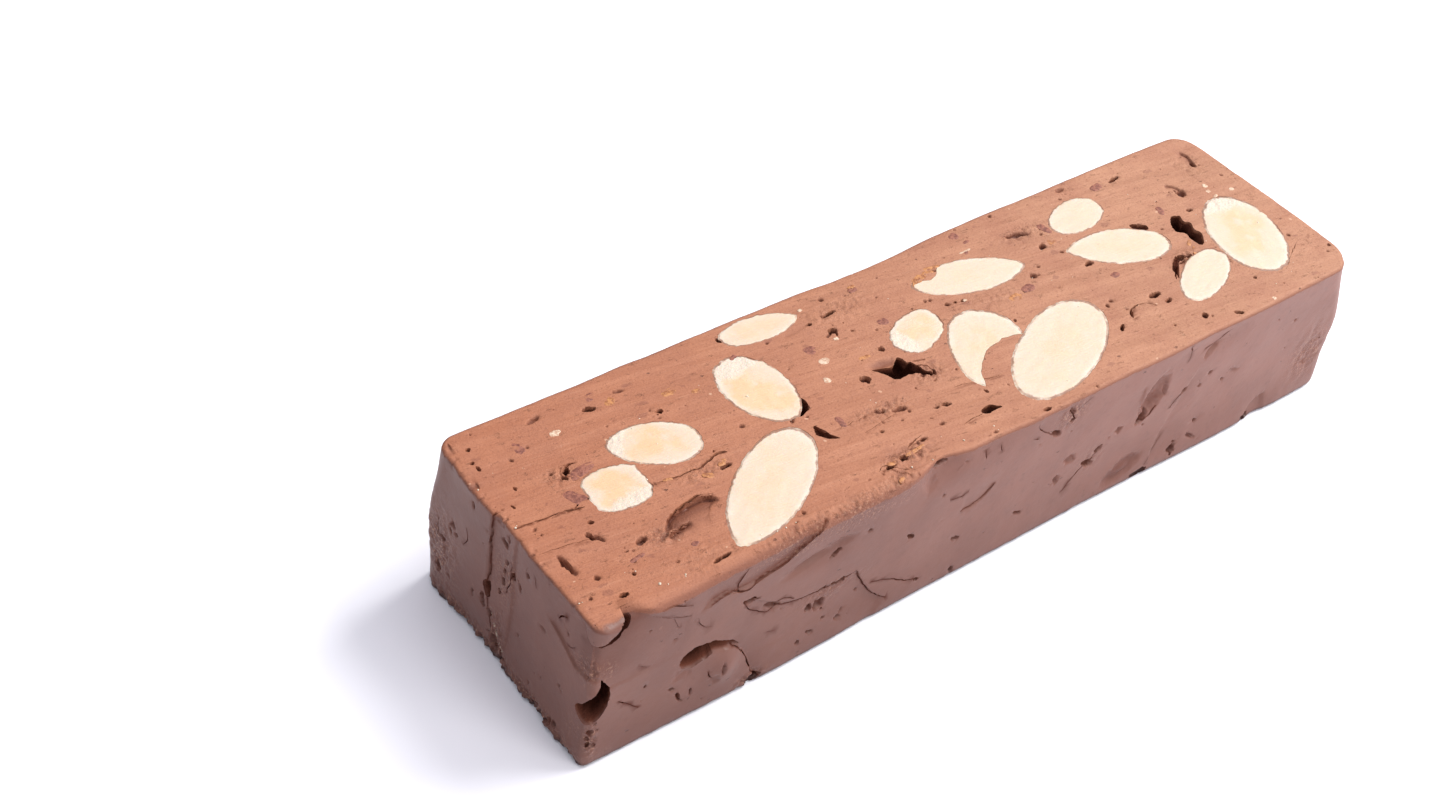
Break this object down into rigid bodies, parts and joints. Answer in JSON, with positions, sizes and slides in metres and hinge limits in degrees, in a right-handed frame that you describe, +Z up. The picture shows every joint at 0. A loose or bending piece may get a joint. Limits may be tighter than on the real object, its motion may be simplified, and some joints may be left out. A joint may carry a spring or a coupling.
{
  "type": "chocolate nougat bar",
  "caption": "Cut bar of chocolate nougat with whole almonds, the knife-cut top showing the almonds as pale oval sections among small air holes.",
  "frame": {"origin": "middle of the underside, on the surface that the bar rests on", "axes": "+X along the bar, +Y from the front long side to the back one, +Z up towards the cut top"},
  "size_m": [0.1563, 0.0421, 0.027],
  "materials": {
    "nougat": "matte brown chocolate nougat on the cut top, satin where it was pressed on the sides",
    "almond": "matte ivory sliced almond"
  },
  "bodies": {
    "root": {"nougat": "nougat", "almond_01": "almond", "almond_02": "almond", "almond_03": "almond", "almond_04": "almond", "almond_05": "almond", "almond_06": "almond", "almond_07": "almond", "almond_08": "almond", "almond_09": "almond", "almond_10": "almond", "almond_11": "almond", "almond_12": "almond", "almond_13": "almond"}
  },
  "joints": []
}
